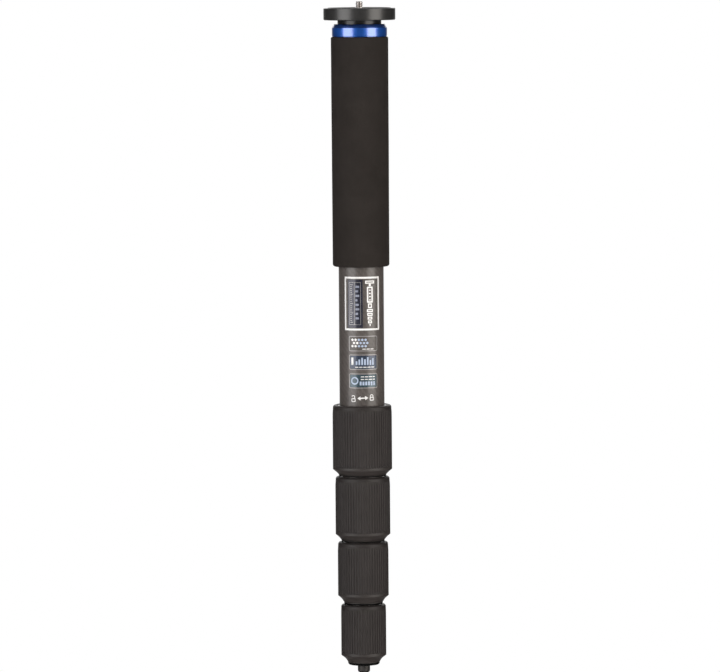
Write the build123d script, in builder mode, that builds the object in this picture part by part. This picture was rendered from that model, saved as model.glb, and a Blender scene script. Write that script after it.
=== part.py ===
from build123d import *
import os
from math import pi

# Five-section camera monopod with twist locks, folded.
# Millimetres, +Z up out of the camera plate, origin at the centre of the
# camera seat. Everything below the seat has negative z.

os.makedirs("parts", exist_ok=True)

# ---------------------------------------------------------------- dimensions
# tubes
tube_od = [36.0, 32.4, 28.8, 25.2, 21.6]
wall = 1.2
travel = 275.0                 # free slide of each section
key_w, key_d = 4.0, 0.4        # anti-rotation grooves inside the tubes
bond = 0.05                    # glue line or press gap between fixed pieces

# top assembly
seat_z = 0.0
plate_r, plate_top, plate_bottom = 28.7, -0.3, -9.8
pad_r_in, pad_r_out, pad_t = 7.5, 25.5, 1.2
neck_r, neck_bottom = 17.5, -13.0
tube_top = -16.0
hub_floor, hub_bottom = -18.0, -38.0
ring_r, ring_chamfer_r, ring_bottom = 22.0, 20.1, -23.0
foam_top, foam_bottom = -23.2, -206.6
foam_r_top, foam_r_bottom = 23.0, 22.75
stud_r, stud_r_low = 3.175, 4.7625   # 1/4 inch and 3/8 inch camera threads
stud_tip, stud_shoulder, stud_end = 5.0, -0.3, -15.0
screw_pcr, screw_r, screw_n = 12.0, 2.0, 3

# twist locks: top, start and end of the nose chamfer, bottom
lock_top = [-317.8, -375.4, -428.1, -478.6]
lock_ch = [-369.45, -421.8, -471.3, -519.6]
lock_ch2 = [-373.5, -426.4, -476.1, -524.4]
lock_bot = [-374.7, -427.6, -478.1, -527.2]
lock_r = [23.75, 21.95, 20.35, 18.05]       # over the rubber
lock_r2 = [19.3, 17.5, 16.0, 13.2]         # small end of the chamfer
nose_r = [19.1, 17.3, 15.6, 12.8]
nut_bot = [-373.95, -426.85, -477.0, -525.3]    # bottom of the nut, the seal's lip hangs below it
seal_r = [17.7, 15.9, 14.1, 12.0]
seal_bot = [-374.7, -427.6, -478.1, -527.35]
seal_round = [(0.4, 0.4), (0.4, 0.4), (0.5, 0.5), (1.4, 1.9)]   # width and height of the lip's rounding

# foot
tube_5_bottom, plug_top = -524.8, -498.4
bead_r, bead_top, bead_bottom = 4.9, -526.7, -533.6
m8_r, m8_clear = 4.0, 4.08
spindle_top, spike_cyl_end, spike_tip = -506.3, -554.0, -559.5
foot_top, foot_bottom = -543.5, -563.0
bush_top, bush_step, bush_bottom = -544.6, -551.4, -553.0

# ------------------------------------------------------------- top assembly
# camera screw: 1/4 inch end up, 3/8 inch end screwed through plate and hub
with BuildPart() as reversible_stud:
    with BuildSketch(Plane.XZ):
        with BuildLine():
            Polyline(
                (0, stud_end), (stud_r_low - 0.8, stud_end), (stud_r_low, stud_end + 0.8),
                (stud_r_low, stud_shoulder), (stud_r, stud_shoulder),
                (stud_r, stud_tip - 0.6), (stud_r - 0.6, stud_tip), (0, stud_tip), close=True)
        make_face()
    revolve(axis=Axis.Z)
    with BuildSketch(Plane.XY.offset(stud_tip)):
        RegularPolygon(radius=1.25, side_count=6, major_radius=False)
    extrude(amount=-3.0, mode=Mode.SUBTRACT)
    with BuildSketch(Plane.XY.offset(stud_end)):
        RegularPolygon(radius=2.0, side_count=6, major_radius=False)
    extrude(amount=3.5, mode=Mode.SUBTRACT)
reversible_stud.part.label = "reversible_stud"
export_step(reversible_stud.part, "parts/reversible_stud.step")

# rubber ring that the camera's base rests on
with BuildPart() as camera_pad:
    with BuildSketch(Plane.XY.offset(seat_z - pad_t)):
        Circle(pad_r_out)
        Circle(pad_r_in, mode=Mode.SUBTRACT)
    extrude(amount=pad_t)
    chamfer(camera_pad.edges().group_by(Axis.Z)[-1], 0.25)
camera_pad.part.label = "camera_pad"
export_step(camera_pad.part, "parts/camera_pad.step")

# round turned plate with a recess for the pad and countersunk screw holes
with BuildPart() as camera_plate:
    with BuildSketch(Plane.XZ):
        with BuildLine():
            Polyline(
                (stud_r_low + 0.08, plate_top), (pad_r_in - bond - 0.1, plate_top),
                (pad_r_in - bond - 0.1, seat_z - pad_t - bond), (pad_r_out + 0.1, seat_z - pad_t - bond),
                (pad_r_out + 0.1, plate_top), (plate_r - 0.3, plate_top), (plate_r, plate_top - 0.3),
                (plate_r, plate_bottom + 0.6), (plate_r - 0.6, plate_bottom),
                (stud_r_low + 0.08, plate_bottom), close=True)
        make_face()
    revolve(axis=Axis.Z)
    with BuildSketch(Plane.XY.offset(seat_z - pad_t - bond)):
        with PolarLocations(screw_pcr, screw_n, start_angle=90):
            Circle(screw_r + 0.2)
    extrude(amount=-12.0, mode=Mode.SUBTRACT)
    with Locations((0, 0, seat_z - pad_t - bond)):
        with PolarLocations(screw_pcr, screw_n, start_angle=90):
            Cone(screw_r + 0.2, 4.3, 2.1, align=(Align.CENTER, Align.CENTER, Align.MAX), mode=Mode.SUBTRACT)
camera_plate.part.label = "camera_plate"
export_step(camera_plate.part, "parts/camera_plate.step")

# neck and plug: screwed to the plate, bonded in the top of the main tube
hub_r = tube_od[0] / 2
with BuildPart() as top_hub:
    with BuildSketch(Plane.XZ):
        with BuildLine():
            Polyline(
                (stud_r_low + 0.08, plate_bottom), (neck_r, plate_bottom), (neck_r, neck_bottom),
                (hub_r, neck_bottom), (hub_r, tube_top), (hub_r - wall - bond, tube_top),
                (hub_r - wall - bond, hub_bottom + 0.8), (hub_r - wall - bond - 0.8, hub_bottom),
                (13.8, hub_bottom), (13.8, hub_floor), (stud_r_low + 0.08, hub_floor), close=True)
        make_face()
    revolve(axis=Axis.Z)
    with BuildSketch(Plane.XY.offset(plate_bottom)):
        with PolarLocations(screw_pcr, screw_n, start_angle=90):
            Circle(screw_r + bond)
    extrude(amount=-7.5, mode=Mode.SUBTRACT)
top_hub.part.label = "top_hub"
export_step(top_hub.part, "parts/top_hub.step")

# three countersunk screws under the pad, one group
with BuildPart() as plate_screws:
    with BuildSketch(Plane.XY.offset(seat_z - pad_t - 0.15)):
        with PolarLocations(screw_pcr, screw_n, start_angle=90):
            Circle(screw_r)
    extrude(amount=-14.0)
    with Locations((0, 0, seat_z - pad_t - 0.15)):
        with PolarLocations(screw_pcr, screw_n, start_angle=90):
            Cone(screw_r, 4.0, 2.0, align=(Align.CENTER, Align.CENTER, Align.MAX))
    with BuildSketch(Plane.XY.offset(seat_z - pad_t - 0.15)):
        with PolarLocations(screw_pcr, screw_n, start_angle=90):
            RegularPolygon(radius=1.25, side_count=6, major_radius=False)
    extrude(amount=-1.7, mode=Mode.SUBTRACT)
plate_screws.part.label = "plate_screws"
export_step(plate_screws.part, "parts/plate_screws.step")

# blue ring over the joint of hub and tube
with BuildPart() as accent_ring:
    with BuildSketch(Plane.XZ):
        with BuildLine():
            Polyline(
                (hub_r + bond, neck_bottom), (ring_chamfer_r, neck_bottom),
                (ring_r, neck_bottom - 1.9), (ring_r, ring_bottom + 0.3), (ring_r - 0.3, ring_bottom),
                (hub_r + bond, ring_bottom), close=True)
        make_face()
    revolve(axis=Axis.Z)
accent_ring.part.label = "accent_ring"
export_step(accent_ring.part, "parts/accent_ring.step")

# foam hand grip, slightly tapered, rounded ends
with BuildPart() as grip_sleeve:
    with BuildSketch(Plane.XZ) as foam_profile:
        with BuildLine():
            Polyline(
                (hub_r + bond, foam_bottom), (foam_r_bottom, foam_bottom),
                (foam_r_top, foam_top), (hub_r + bond, foam_top), close=True)
        make_face()
        fillet(foam_profile.vertices().group_by(Axis.X)[-1] + foam_profile.vertices().group_by(Axis.X)[-2], 1.5)
    revolve(axis=Axis.Z)
grip_sleeve.part.label = "grip_sleeve"
export_step(grip_sleeve.part, "parts/grip_sleeve.step")

# -------------------------------------------------------------------- tubes
# Each tube ends 27 mm above its lock's nose; each sliding tube reaches far
# enough up for its guide shims to stop above the collet at full travel.
tube_bottom = [z + 27.0 for z in lock_bot] + [tube_5_bottom]
tube_tops = [tube_top] + [z + 25.0 + travel + 30.0 for z in lock_bot]
shim_len = 28.0

for n in range(5):
    ro = tube_od[n] / 2
    ri = ro - wall
    length = tube_tops[n] - tube_bottom[n]
    with BuildPart() as tube:
        with BuildSketch(Plane.XY.offset(tube_bottom[n])):
            Circle(ro)
            Circle(ri, mode=Mode.SUBTRACT)
            with Locations((ri, 0), (-ri, 0)):
                Rectangle(2 * key_d, key_w, mode=Mode.SUBTRACT)
        extrude(amount=length)
        if n > 0:
            # holes for the pegs of the guide shims
            with BuildSketch(Plane.YZ):
                with Locations((0, tube_tops[n] - 9.0), (0, tube_tops[n] - 21.0)):
                    Circle(1.5)
            extrude(amount=ro + 1, both=True, mode=Mode.SUBTRACT)
    tube.part.label = f"tube_{n + 1}"
    export_step(tube.part, f"parts/tube_{n + 1}.step")

# guide shims: two half shells with pegs and ribs near the top of tubes 2 to 5
for n in range(1, 5):
    ro = tube_od[n] / 2
    bore = tube_od[n - 1] / 2 - wall
    shim_bottom = tube_tops[n] - 1.0 - shim_len
    with BuildPart() as guide_shims:
        with BuildSketch(Plane.XY.offset(shim_bottom)):
            Circle(bore - 0.08)
            with Locations((bore, 0), (-bore, 0)):
                Rectangle(2 * (key_d - 0.1), key_w - 0.3)
            Circle(ro + bond, mode=Mode.SUBTRACT)
            Rectangle(3.0, 4 * bore, mode=Mode.SUBTRACT)
        extrude(amount=shim_len)
        for side in (1, -1):
            with BuildSketch(Plane.YZ.offset(side * (ro - wall + 0.45))):
                with Locations((0, tube_tops[n] - 9.0), (0, tube_tops[n] - 21.0)):
                    Circle(1.4)
            extrude(amount=side * 0.95)
    guide_shims.part.label = f"guide_shims_{n + 1}"
    export_step(guide_shims.part, f"parts/guide_shims_{n + 1}.step")

# -------------------------------------------------------------- twist locks
for n in range(4):
    R = tube_od[n] / 2             # tube that carries the lock
    r = tube_od[n + 1] / 2         # tube that slides through it
    zt, zb = lock_top[n], lock_bot[n]

    # threaded ferrule bonded on the tube end, with the female cone
    with BuildPart() as ferrule:
        with BuildSketch(Plane.XZ):
            with BuildLine():
                Polyline(
                    (R + 0.4, zb + 11.0), (R + 1.5, zb + 11.0), (R + 2.0, zb + 11.5),
                    (R + 2.0, zt - 0.9), (R + 1.6, zt - 0.5), (R + bond, zt - 0.5),
                    (R + bond, zb + 27.0 - bond), (R - 0.6, zb + 27.0 - bond), close=True)
            make_face()
        revolve(axis=Axis.Z)
    ferrule.part.label = f"ferrule_{n + 1}"
    export_step(ferrule.part, f"parts/ferrule_{n + 1}.step")

    # split collet: flange held in the nut, outer cone in the ferrule
    with BuildPart() as collet:
        with BuildSketch(Plane.XZ):
            with BuildLine():
                Polyline(
                    (r + 0.08, zb + 6.0), (R + 1.6, zb + 6.0), (R + 1.6, zb + 8.5), (R + 0.75, zb + 8.5),
                    (R + 0.75, zb + 9.9), (R + 0.3, zb + 11.0), (R - 0.575, zb + 25.0),
                    (r + 0.08, zb + 25.0), close=True)
            make_face()
        revolve(axis=Axis.Z)
        with BuildSketch(Plane.XY.offset(zb + 5.5)):
            with Locations((R, 0)):
                Rectangle(8.0, 2.4)
        extrude(amount=20.5, mode=Mode.SUBTRACT)
        with BuildSketch(Plane.XY.offset(zb + 10.5)):
            with PolarLocations(R, 5, start_angle=60, angular_range=240):
                Rectangle(8.0, 1.2)
        extrude(amount=15.0, mode=Mode.SUBTRACT)
    collet.part.label = f"collet_{n + 1}"
    export_step(collet.part, f"parts/collet_{n + 1}.step")

    # nut: sleeve over the ferrule's thread, flange, chamfered nose
    with BuildPart() as lock_nut:
        with BuildSketch(Plane.XZ) as nut_profile:
            with BuildLine():
                Polyline(
                    (R + 3.7, zt - 1.6), (R + 3.7, lock_ch[n] + 2.2), (lock_r[n] - 0.05, lock_ch[n] + 2.2),
                    (lock_r[n], lock_ch[n] + 2.1), (lock_r[n], lock_ch[n]), (lock_r2[n], lock_ch2[n]),
                    (nose_r[n], lock_ch2[n] - 0.3), (nose_r[n], nut_bot[n]), (seal_r[n], nut_bot[n]),
                    (seal_r[n], zb + 5.2),
                    (r + 0.3, zb + 5.2), (r + 0.3, zb + 5.9), (R + 1.7, zb + 5.9), (R + 1.7, zb + 8.6),
                    (R + 0.9, zb + 8.6), (R + 0.9, zb + 10.0), (R + 2.1, zb + 10.0), (R + 2.1, zt - 1.6),
                    close=True)
            make_face()
        revolve(axis=Axis.Z)
    lock_nut.part.label = f"lock_nut_{n + 1}"
    export_step(lock_nut.part, f"parts/lock_nut_{n + 1}.step")

    # rubber sleeve on the nut, folded over its top edge, slightly barrelled
    with BuildPart() as lock_grip:
        with BuildSketch(Plane.XZ) as grip_profile:
            with BuildLine():
                Polyline(
                    (R + 3.7 + bond, lock_ch[n] + 2.2 + bond), (lock_r[n], lock_ch[n] + 2.2 + bond),
                    (lock_r[n], zt - 10.0), (lock_r[n] - 0.45, zt), (R + 2.2, zt),
                    (R + 2.2, zt - 1.6 + bond), (R + 3.7 + bond, zt - 1.6 + bond), close=True)
            make_face()
            fillet(grip_profile.vertices().group_by(Axis.Y)[-1].sort_by(Axis.X)[-1], 1.2)
        revolve(axis=Axis.Z)
    lock_grip.part.label = f"lock_grip_{n + 1}"
    export_step(lock_grip.part, f"parts/lock_grip_{n + 1}.step")

    # wiper pressed into the nut's nose, with a lip on the tube and a rounded end below the nut
    edge, low, (wide, high) = nose_r[n] - 0.1, seal_bot[n], seal_round[n]
    with BuildPart() as wiper_seal:
        with BuildSketch(Plane.XZ):
            with BuildLine():
                Polyline(
                    (edge - wide, low), (r + 0.3, low), (r + 0.3, zb + 3.4), (r + 0.06, zb + 3.7),
                    (r + 0.06, zb + 4.5), (r + 0.5, zb + 5.15), (seal_r[n] - bond, zb + 5.15),
                    (seal_r[n] - bond, nut_bot[n] - bond), (edge, nut_bot[n] - bond), (edge, low + high))
                ThreePointArc((edge, low + high), (edge - 0.293 * wide, low + 0.293 * high), (edge - wide, low))
            make_face()
        revolve(axis=Axis.Z)
    wiper_seal.part.label = f"wiper_seal_{n + 1}"
    export_step(wiper_seal.part, f"parts/wiper_seal_{n + 1}.step")

# --------------------------------------------------------------------- foot
foot_ro = tube_od[4] / 2
# metal plug in the lowest tube
with BuildPart() as end_plug:
    with BuildSketch(Plane.XZ):
        with BuildLine():
            Polyline(
                (m8_r + bond, plug_top), (foot_ro - wall - bond - 0.8, plug_top), (foot_ro - wall - bond, plug_top - 0.8),
                (foot_ro - wall - bond, tube_bottom[4] - bond), (foot_ro, tube_bottom[4] - bond),
                (foot_ro, bead_top + 0.5), (foot_ro - 0.5, bead_top + bond), (m8_r + bond, bead_top + bond), close=True)
        make_face()
    revolve(axis=Axis.Z)
end_plug.part.label = "end_plug"
export_step(end_plug.part, "parts/end_plug.step")

# foot spindle: bead, undercut, M8 shaft and hard point
with BuildPart() as spike_stud:
    with BuildSketch(Plane.XZ) as spindle_profile:
        with BuildLine():
            Polyline(
                (0, spindle_top), (m8_r - 0.8, spindle_top), (m8_r, spindle_top - 0.8), (m8_r, bead_top),
                (bead_r - 0.7, bead_top),
                (bead_r, bead_top - 1.2), (bead_r, bead_bottom + 1.6), (bead_r - 0.9, bead_bottom),
                (3.4, bead_bottom), (3.4, bead_bottom - 1.0), (m8_r, bead_bottom - 1.6),
                (m8_r, spike_cyl_end), (0.6, spike_tip), (0, spike_tip), close=True)
        make_face()
    revolve(axis=Axis.Z)
spike_stud.part.label = "spike_stud"
export_step(spike_stud.part, "parts/spike_stud.step")

# threaded bush moulded into the rubber foot
with BuildPart() as foot_insert:
    with BuildSketch(Plane.XZ):
        with BuildLine():
            Polyline(
                (m8_clear, bush_bottom), (7.2, bush_bottom), (7.2, bush_step), (5.8, bush_step),
                (5.8, bush_top), (m8_clear, bush_top), close=True)
        make_face()
    revolve(axis=Axis.Z)
foot_insert.part.label = "foot_insert"
export_step(foot_insert.part, "parts/foot_insert.step")

# rubber foot with a hole in its sole for the point
with BuildPart() as rubber_foot:
    with BuildSketch(Plane.XZ) as foot_profile:
        with BuildLine():
            Polyline(
                (4.6, foot_top), (7.6, foot_top), (9.2, foot_top - 1.6), (9.4, foot_top - 8.0),
                (11.5, foot_bottom + 2.6), (11.5, foot_bottom + 1.2), (10.3, foot_bottom),
                (4.6, foot_bottom), (4.6, bush_bottom - bond), (7.2 + bond, bush_bottom - bond),
                (7.2 + bond, bush_step + bond), (5.8 + bond, bush_step + bond), (5.8 + bond, bush_top + bond),
                (4.6, bush_top + bond), close=True)
        make_face()
    revolve(axis=Axis.Z)
rubber_foot.part.label = "rubber_foot"
export_step(rubber_foot.part, "parts/rubber_foot.step")
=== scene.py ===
from math import atan2, cos, floor, hypot, pi, radians, sin, sqrt, tan

import bmesh
import bpy
from mathutils import Matrix, Vector, noise


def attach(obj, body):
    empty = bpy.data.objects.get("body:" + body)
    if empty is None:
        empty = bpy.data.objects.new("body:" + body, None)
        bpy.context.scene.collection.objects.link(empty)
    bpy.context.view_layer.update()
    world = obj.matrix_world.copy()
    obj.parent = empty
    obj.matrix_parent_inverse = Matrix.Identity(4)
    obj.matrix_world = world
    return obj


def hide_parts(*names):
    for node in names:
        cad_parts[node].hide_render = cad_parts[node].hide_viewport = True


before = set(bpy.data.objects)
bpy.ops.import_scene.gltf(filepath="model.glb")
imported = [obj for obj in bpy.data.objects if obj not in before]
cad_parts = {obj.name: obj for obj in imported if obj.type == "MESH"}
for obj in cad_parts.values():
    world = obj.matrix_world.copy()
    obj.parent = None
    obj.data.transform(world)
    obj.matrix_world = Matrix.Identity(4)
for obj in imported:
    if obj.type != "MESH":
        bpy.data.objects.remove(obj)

# A folded five-section camera monopod. Lengths in this script are millimetres
# in the part's own frame until the meshes are made, which are in metres.
MM = 0.001
bpy.context.view_layer.update()

# ------------------------------------------------------------------ dimensions
TUBE_OD = [36.0, 32.4, 28.8, 25.2, 21.6]
LOCK_TOP = [-317.8, -375.4, -428.1, -478.6]
LOCK_CH = [-369.45, -421.8, -471.3, -519.6]      # nose chamfer begins
LOCK_CH2 = [-373.5, -426.4, -476.1, -524.4]      # nose chamfer ends
LOCK_BOT = [-374.7, -427.6, -478.1, -527.2]
LOCK_R = [23.75, 21.95, 20.35, 18.05]
LOCK_R2 = [19.3, 17.5, 16.0, 13.2]
NOSE_R = [19.1, 17.3, 15.6, 12.8]
NUT_BOT = [-373.95, -426.85, -477.0, -525.3]
SEAL_R = [17.7, 15.9, 14.1, 12.0]
SEAL_BOT = [-374.7, -427.6, -478.1, -527.35]
SEAL_ROUND = [(0.4, 0.4), (0.4, 0.4), (0.5, 0.5), (1.4, 1.9)]
RIBS = [60, 56, 52, 46]


# ================================================================== mesh tools
def arc_profile(points, steps=4):
    """Profile points (r, z) or (r, z, corner radius), as (r, z) with the
    corners rounded and a support point on each side of every rounding."""
    out = []
    n = len(points)
    for i, p in enumerate(points):
        rad = p[2] if len(p) > 2 else 0.0
        if rad <= 0:
            out.append((p[0], p[1]))
            continue
        a, b = points[i - 1], points[(i + 1) % n]
        pa, pb = (a[0] - p[0], a[1] - p[1]), (b[0] - p[0], b[1] - p[1])
        la, lb = hypot(*pa), hypot(*pb)
        ua, ub = (pa[0] / la, pa[1] / la), (pb[0] / lb, pb[1] / lb)
        cosang = max(-1.0, min(1.0, ua[0] * ub[0] + ua[1] * ub[1]))
        half = 0.5 * (pi - abs(atan2(sqrt(max(0, 1 - cosang * cosang)), cosang)))
        cut = min(rad * tan(half), 0.49 * la, 0.49 * lb)
        real = cut / tan(half) if half > 1e-6 else 0
        start = (p[0] + ua[0] * cut, p[1] + ua[1] * cut)
        end = (p[0] + ub[0] * cut, p[1] + ub[1] * cut)
        bis = (ua[0] + ub[0], ua[1] + ub[1])
        lbis = hypot(*bis)
        dist = hypot(real, cut)
        centre = (p[0] + bis[0] / lbis * dist, p[1] + bis[1] / lbis * dist)
        a0 = atan2(start[1] - centre[1], start[0] - centre[0])
        a1 = atan2(end[1] - centre[1], end[0] - centre[0])
        while a1 - a0 > pi:
            a1 -= 2 * pi
        while a1 - a0 < -pi:
            a1 += 2 * pi
        more = min(0.35 * cut + 0.05, 0.2 * (la - cut))
        if more > 0.02:
            out.append((start[0] + ua[0] * more, start[1] + ua[1] * more))
        for k in range(steps + 1):
            t = a0 + (a1 - a0) * k / steps
            out.append((centre[0] + real * cos(t), centre[1] + real * sin(t)))
        more = min(0.35 * cut + 0.05, 0.2 * (lb - cut))
        if more > 0.02:
            out.append((end[0] + ub[0] * more, end[1] + ub[1] * more))
    return out


def turned(name, profile, around=128, shape=None, closed=True, sharp=38.0):
    """A solid of revolution about the Z axis. profile goes round the section
    with its outside on the right; around is a count or a list of angles;
    shape(r, z, angle, index) may move each point."""
    if closed:
        area = sum(a[0] * b[1] - b[0] * a[1] for a, b in zip(profile, profile[1:] + profile[:1]))
        if area < 0:
            profile = profile[::-1]
    angles = [2 * pi * i / around for i in range(around)] if isinstance(around, int) else around
    s, verts, rows = len(angles), [], []
    for j, (r, z) in enumerate(profile):
        if r < 1e-6:
            rows.append([len(verts)] * s)
            verts.append((0.0, 0.0, z * MM))
            continue
        row = []
        for a in angles:
            rr, zz = (r, z) if shape is None else shape(r, z, a, j)
            row.append(len(verts))
            verts.append((rr * sin(a) * MM, -rr * cos(a) * MM, zz * MM))
        rows.append(row)
    # running length of the profile, for a plain unrolled map
    run = [0.0]
    for a, b in zip(profile, profile[1:] + profile[:1]):
        run.append(run[-1] + hypot(b[0] - a[0], b[1] - a[1]))
    faces, uvs = [], []
    last = len(rows) if closed else len(rows) - 1
    for j in range(last):
        lo, hi = rows[j], rows[(j + 1) % len(rows)]
        v0, v1 = run[j] / run[-1], run[j + 1] / run[-1]
        for i in range(s):
            k = (i + 1) % s
            u0, u1 = i / s, (i + 1) / s
            ring = [(lo[i], u0, v0), (lo[k], u1, v0), (hi[k], u1, v1), (hi[i], u0, v1)]
            kept = []
            for c in ring:
                if c[0] not in [q[0] for q in kept]:
                    kept.append(c)
            if len(kept) > 2:
                faces.append([c[0] for c in kept])
                uvs += [(c[1], c[2]) for c in kept]
    mesh = bpy.data.meshes.new(name)
    mesh.from_pydata(verts, [], faces)
    layer = mesh.uv_layers.new(name="OFBake")
    for loop, uv in zip(layer.data, uvs):
        loop.uv = uv
    mesh.validate()
    for p in mesh.polygons:
        p.use_smooth = True
    mesh.set_sharp_from_angle(angle=radians(sharp))
    obj = bpy.data.objects.new(name, mesh)
    bpy.context.scene.collection.objects.link(obj)
    return obj


def place(obj, body, mat, slot, *nodes):
    obj.data.materials.append(mat)
    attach(obj, body)
    if nodes:
        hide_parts(*nodes)
    return obj


def thread(phase, major, minor):
    """Radius of a 60 degree thread at a phase of 0 to 1 turn."""
    t = phase - floor(phase)
    if t < 0.125:
        return major
    if t < 0.4375:
        return major - (major - minor) * (t - 0.125) / 0.3125
    if t < 0.6875:
        return minor
    return minor + (major - minor) * (t - 0.6875) / 0.3125


def smooth(x):
    x = max(0.0, min(1.0, x))
    return x * x * (3 - 2 * x)


def span(a, b, step):
    n = max(1, int(round(abs(b - a) / step)))
    return [a + (b - a) * i / n for i in range(n + 1)]


# ============================================================== material tools
class Paint:
    """One Principled material built from nodes."""

    def __init__(self, name, **sockets):
        self.mat = bpy.data.materials.new(name)
        self.mat.use_nodes = True
        self.tree = self.mat.node_tree
        self.shader = self.tree.nodes["Principled BSDF"]
        for key, value in sockets.items():
            self.shader.inputs[key.replace("_", " ")].default_value = value
        self.coords = self.tree.nodes.new("ShaderNodeTexCoord").outputs["Object"]
        self.parts = None

    def link(self, source, socket):
        self.tree.links.new(source, socket)

    def math(self, op, a, b=None, c=None):
        n = self.tree.nodes.new("ShaderNodeMath")
        n.operation = op
        for i, v in enumerate((a, b, c)):
            if v is None:
                continue
            if isinstance(v, (int, float)):
                n.inputs[i].default_value = v
            else:
                self.link(v, n.inputs[i])
        return n.outputs[0]

    def xyz(self):
        if self.parts is None:
            n = self.tree.nodes.new("ShaderNodeSeparateXYZ")
            self.link(self.coords, n.inputs[0])
            x, y, z = n.outputs
            around = self.math("ARCTAN2", x, self.math("MULTIPLY", y, -1.0))
            out = self.math("SQRT", self.math("ADD", self.math("MULTIPLY", x, x), self.math("MULTIPLY", y, y)))
            self.parts = (x, y, z, around, out)
        return self.parts

    def vector(self, x, y, z):
        n = self.tree.nodes.new("ShaderNodeCombineXYZ")
        for i, v in enumerate((x, y, z)):
            if isinstance(v, (int, float)):
                n.inputs[i].default_value = v
            else:
                self.link(v, n.inputs[i])
        return n.outputs[0]

    def noise(self, scale, detail=2.0, rough=0.5, vector=None):
        n = self.tree.nodes.new("ShaderNodeTexNoise")
        n.inputs["Scale"].default_value = scale
        n.inputs["Detail"].default_value = detail
        n.inputs["Roughness"].default_value = rough
        self.link(vector if vector is not None else self.coords, n.inputs["Vector"])
        return n.outputs["Fac"]

    def cells(self, scale, vector=None, feature="F1"):
        n = self.tree.nodes.new("ShaderNodeTexVoronoi")
        n.feature = feature
        n.inputs["Scale"].default_value = scale
        self.link(vector if vector is not None else self.coords, n.inputs["Vector"])
        return n.outputs["Distance"]

    def between(self, value, low, high, out_low=0.0, out_high=1.0):
        n = self.tree.nodes.new("ShaderNodeMapRange")
        n.inputs["From Min"].default_value = low
        n.inputs["From Max"].default_value = high
        n.inputs["To Min"].default_value = out_low
        n.inputs["To Max"].default_value = out_high
        self.link(value, n.inputs["Value"])
        return n.outputs["Result"]

    def ramp(self, value, *stops):
        n = self.tree.nodes.new("ShaderNodeValToRGB")
        e = n.color_ramp.elements
        while len(e) < len(stops):
            e.new(0.5)
        for i, (pos, colour) in enumerate(stops):
            e[i].position = pos
            e[i].color = (*colour, 1.0)
        self.link(value, n.inputs["Fac"])
        return n.outputs["Color"]

    def colour(self, value, *stops):
        self.link(self.ramp(value, *stops), self.shader.inputs["Base Color"])

    def roughness(self, value, low, high):
        self.link(self.between(value, 0.25, 0.75, low, high), self.shader.inputs["Roughness"])

    def bump(self, height, strength, depth_mm, below=None):
        n = self.tree.nodes.new("ShaderNodeBump")
        n.inputs["Strength"].default_value = strength
        n.inputs["Distance"].default_value = depth_mm * MM
        self.link(height, n.inputs["Height"])
        if below is not None:
            self.link(below, n.inputs["Normal"])
        return n.outputs["Normal"]

    def normal(self, normal):
        self.link(normal, self.shader.inputs["Normal"])

    def turning(self, scale):
        """Fine rings of a turned surface: noise that only changes with
        radius and height."""
        x, y, z, around, out = self.xyz()
        return self.noise(scale, 3.0, 0.6, self.vector(out, z, 0.0))


def grey(v, warm=0.0):
    return (v * (1 + warm), v, v * (1 - warm))


# ==================================================================== materials
# closed-cell foam: matt, finely pitted, slightly mottled
foam = Paint("foam_black", Specular_IOR_Level=0.18)
f_pit = foam.cells(1500.0)
f_grain = foam.noise(2600.0, 3.0, 0.65)
f_big = foam.noise(55.0, 3.0, 0.5)
foam.colour(foam.math("ADD", foam.math("MULTIPLY", f_grain, 0.6), foam.math("MULTIPLY", f_big, 0.4)),
            (0.30, (0.0176, 0.0145, 0.0128)), (0.70, (0.0297, 0.0251, 0.0226)))
foam.roughness(f_grain, 0.86, 0.98)
foam.normal(foam.bump(f_grain, 0.7, 0.06, foam.bump(f_pit, 0.6, 0.05)))


def rubber_paint(name, dark, light, low, high, level=0.42):
    p = Paint(name, Specular_IOR_Level=level)
    grain = p.noise(3400.0, 2.0, 0.6)
    patch = p.noise(70.0, 3.0, 0.55)
    x, y, z, around, out = p.xyz()
    streak = p.noise(1.0, 2.0, 0.5, p.vector(p.math("MULTIPLY", around, 22.0), p.math("MULTIPLY", z, 30.0), 0.0))
    mix = p.math("ADD", p.math("MULTIPLY", patch, 0.5), p.math("MULTIPLY", streak, 0.5))
    p.colour(mix, (0.32, dark), (0.68, light))
    p.roughness(grain, low, high)
    p.normal(p.bump(grain, 0.35, 0.03))
    return p.mat


lock_rubber = rubber_paint("rubber_grip", (0.0182, 0.0146, 0.0137), (0.0254, 0.0208, 0.0197), 0.46, 0.60, 0.40)
foot_rubber = rubber_paint("rubber_foot", grey(0.018, 0.02), grey(0.027, 0.02), 0.55, 0.72)
# black wiper rubber, made far darker than the grip rubber as painted shade in the gaps under the lock noses
seal_rubber = rubber_paint("rubber_seal_gap_shade", grey(0.0022), grey(0.0038), 0.60, 0.75, 0.10)


def pad_material():
    p = Paint("rubber_pad", Specular_IOR_Level=0.35)
    grain = p.noise(2200.0, 3.0, 0.6)
    dust = p.noise(160.0, 4.0, 0.6)
    p.colour(dust, (0.30, grey(0.030)), (0.72, grey(0.048, 0.02)))
    p.roughness(grain, 0.62, 0.84)
    p.normal(p.bump(grain, 0.5, 0.05))
    return p.mat


pad_rubber = pad_material()


def moulded(name, dark, light, low, high, level=0.5, depth=0.02, scale=2600.0):
    """Moulded plastic with a fine spark-eroded grain."""
    p = Paint(name, Specular_IOR_Level=level)
    grain = p.noise(scale, 2.0, 0.55)
    patch = p.noise(90.0, 3.0, 0.5)
    p.colour(patch, (0.3, dark), (0.7, light))
    p.roughness(grain, low, high)
    p.normal(p.bump(grain, 0.4, depth))
    return p.mat


nut_plastic = moulded("nylon_black", (0.0290, 0.0246, 0.0232), (0.0385, 0.0330, 0.0310), 0.44, 0.58, 0.40)
white_plastic = moulded("acetal_white", (0.70, 0.69, 0.65), (0.78, 0.77, 0.73), 0.30, 0.42, 0.5, 0.012)


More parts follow.
